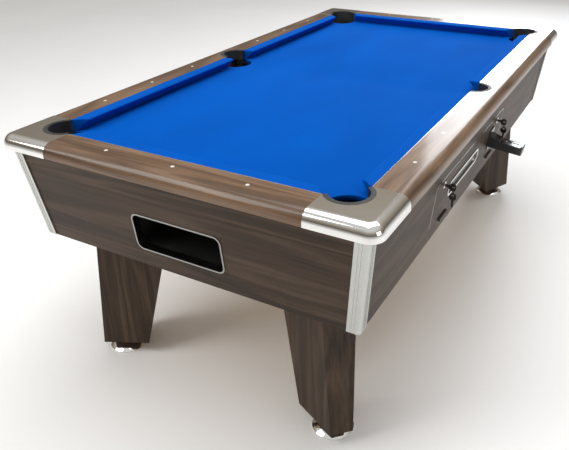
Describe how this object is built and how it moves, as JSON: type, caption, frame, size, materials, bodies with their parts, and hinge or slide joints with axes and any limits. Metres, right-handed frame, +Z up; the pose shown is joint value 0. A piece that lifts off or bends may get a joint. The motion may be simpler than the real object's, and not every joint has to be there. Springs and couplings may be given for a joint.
{
  "type": "pool table",
  "caption": "Coin-operated pool table with a slate bed, blue cloth, wooden cabinet, drop pockets, ball return window, service door and levelling feet.",
  "frame": {"origin": "point on the floor under the middle of the playing surface, halfway between the four feet", "axes": "+X across the table towards the service door and coin unit, +Y along the table away from the ball return window, +Z up"},
  "size_m": [1.3351, 2.2248, 0.8515],
  "materials": {
    "rail_wood": "satin walnut laminate",
    "cabinet_wood": "satin dark walnut laminate",
    "leg_wood": "satin dark walnut laminate, grain upright",
    "inner_wood": "bare softwood and board",
    "slate": "honed",
    "cloth": "napped wool cloth",
    "chrome": "polished",
    "sight_white": "gloss",
    "liner_rubber": "matte",
    "strip_metal": "bright",
    "corner_metal": "satin anodised",
    "steel": "zinc plated",
    "black_paint": "semi-gloss black",
    "black_plastic": "fine matte",
    "run_plastic": "matte black",
    "clear_plastic": "clear"
  },
  "bodies": {
    "table": {"rail_near": "rail_wood", "rail_far": "rail_wood", "rail_left": "rail_wood", "rail_right": "rail_wood", "cabinet_end_near": "cabinet_wood", "cabinet_end_far": "cabinet_wood", "cabinet_side_left": "cabinet_wood", "cabinet_side_right": "cabinet_wood", "leg_near_left": "leg_wood", "casting_near_left": "chrome", "cushion_near_left": "cloth", "leg_near_right": "leg_wood", "casting_near_right": "chrome", "cushion_near_right": "cloth", "leg_far_left": "leg_wood", "casting_far_left": "chrome", "cushion_far_left": "cloth", "leg_far_right": "leg_wood", "casting_far_right": "chrome", "cushion_far_right": "cloth", "cushion_near": "cloth", "cushion_far": "cloth", "bed_cloth": "cloth", "slate_bed": "slate", "slate_bearers": "inner_wood", "base_board": "inner_wood", "corner_blocks": "inner_wood", "corner_liners": "liner_rubber", "side_liners": "liner_rubber", "side_pocket_trims": "chrome", "rail_sights": "sight_white", "rail_edge_strips": "strip_metal", "rail_bolts": "steel", "leg_bolts": "steel", "corner_trims": "corner_metal", "window_rim": "chrome", "return_tray": "run_plastic", "ball_chute": "run_plastic", "ball_gutters": "run_plastic", "gutter_straps": "steel", "cash_box": "black_paint", "hinge_leaves_fixed": "steel"},
    "door": {"door_panel": "cabinet_wood", "slot_bezel": "chrome", "slot_pane": "clear_plastic", "hinge_leaves_moving": "steel", "lock_barrels": "chrome", "coin_housing": "black_paint"},
    "coin_slide": {"coin_slide": "chrome"},
    "lock_left": {"lock_core_left": "steel", "key_left": "black_plastic"},
    "lock_right": {"lock_core_right": "steel", "key_right": "black_plastic"},
    "spare_left": {"spare_key_left": "black_plastic"},
    "spare_right": {"spare_key_right": "black_plastic"},
    "ball_gate": {"ball_gate": "steel"},
    "foot_near_left": {"foot_near_left": "chrome"},
    "foot_near_right": {"foot_near_right": "chrome"},
    "foot_far_left": {"foot_far_left": "chrome"},
    "foot_far_right": {"foot_far_right": "chrome"}
  },
  "joints": [
    {"name": "foot_near_left_screw", "type": "slide", "parent": "table", "child": "foot_near_left", "axis": [0, 0, -1], "range_m": [0, 0.02]},
    {"name": "foot_near_right_screw", "type": "slide", "parent": "table", "child": "foot_near_right", "axis": [0, 0, -1], "range_m": [0, 0.02]},
    {"name": "foot_far_left_screw", "type": "slide", "parent": "table", "child": "foot_far_left", "axis": [0, 0, -1], "range_m": [0, 0.02]},
    {"name": "foot_far_right_screw", "type": "slide", "parent": "table", "child": "foot_far_right", "axis": [0, 0, -1], "range_m": [0, 0.02]},
    {"name": "door_hinge", "type": "hinge", "parent": "table", "child": "door", "pos_m": [0.56973, 0, 0.54496], "axis": [0, 1, 0], "range_deg": [0, 90]},
    {"name": "coin_push", "type": "slide", "parent": "door", "child": "coin_slide", "axis": [-0.9932, 0, 0.1163], "range_m": [0, 0.05]},
    {"name": "lock_left_turn", "type": "hinge", "parent": "door", "child": "lock_left", "pos_m": [0.58184, -0.486, 0.68274], "axis": [0.9932, 0, -0.1163], "range_deg": [0, 90]},
    {"name": "spare_left_swing", "type": "hinge", "parent": "lock_left", "child": "spare_left", "pos_m": [0.61337, -0.486, 0.67693], "axis": [0, -1, 0], "range_deg": [-25, 40]},
    {"name": "lock_right_turn", "type": "hinge", "parent": "door", "child": "lock_right", "pos_m": [0.58184, 0.154, 0.68274], "axis": [0.9932, 0, -0.1163], "range_deg": [0, 90]},
    {"name": "spare_right_swing", "type": "hinge", "parent": "lock_right", "child": "spare_right", "pos_m": [0.61337, 0.154, 0.67693], "axis": [0, -1, 0], "range_deg": [-25, 40]},
    {"name": "gate_lift", "type": "hinge", "parent": "table", "child": "ball_gate", "pos_m": [0.4876, -0.48, 0.64528], "axis": [-1, 0, 0], "range_deg": [-1, 76]}
  ],
  "couplings": [
    {"joint": "gate_lift", "follows": "coin_push", "rad_per_m": 26.18}
  ]
}
